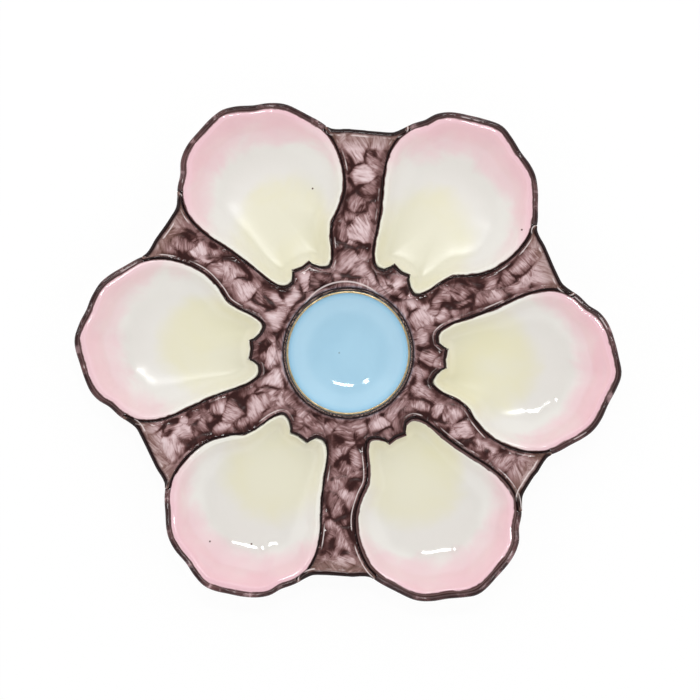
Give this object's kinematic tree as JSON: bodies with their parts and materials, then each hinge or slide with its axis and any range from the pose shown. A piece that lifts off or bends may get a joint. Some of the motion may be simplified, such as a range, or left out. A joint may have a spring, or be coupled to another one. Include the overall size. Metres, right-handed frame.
{
  "type": "oyster plate",
  "caption": "Round scalloped oyster plate with shell-shaped wells round a central sauce well, on a foot ring.",
  "frame": {"origin": "centre of the foot ring on the table, under the middle of the sauce well", "axes": "+Z up out of the table; +X roughly along the first well, as the picture shows it; +Y up in the picture"},
  "size_m": [0.2396, 0.2188, 0.0261],
  "materials": {
    "ground_glaze": "gloss",
    "rim_glaze": "gloss",
    "shell_glaze": "gloss",
    "sauce_glaze": "gloss",
    "gilding": "burnished",
    "foot_glaze": "gloss"
  },
  "bodies": {
    "root": {"plate_ground": "ground_glaze", "well_1": "shell_glaze", "well_2": "shell_glaze", "well_3": "shell_glaze", "well_4": "shell_glaze", "well_5": "shell_glaze", "well_6": "shell_glaze", "well_rim_1": "rim_glaze", "well_rim_2": "rim_glaze", "well_rim_3": "rim_glaze", "well_rim_4": "rim_glaze", "well_rim_5": "rim_glaze", "well_rim_6": "rim_glaze", "hinge_tab_1": "rim_glaze", "hinge_tab_2": "rim_glaze", "hinge_tab_3": "rim_glaze", "hinge_tab_4": "rim_glaze", "hinge_tab_5": "rim_glaze", "hinge_tab_6": "rim_glaze", "sauce_well": "sauce_glaze", "cup_bead": "rim_glaze", "gilt_line": "gilding", "foot_ring": "foot_glaze"}
  },
  "joints": []
}
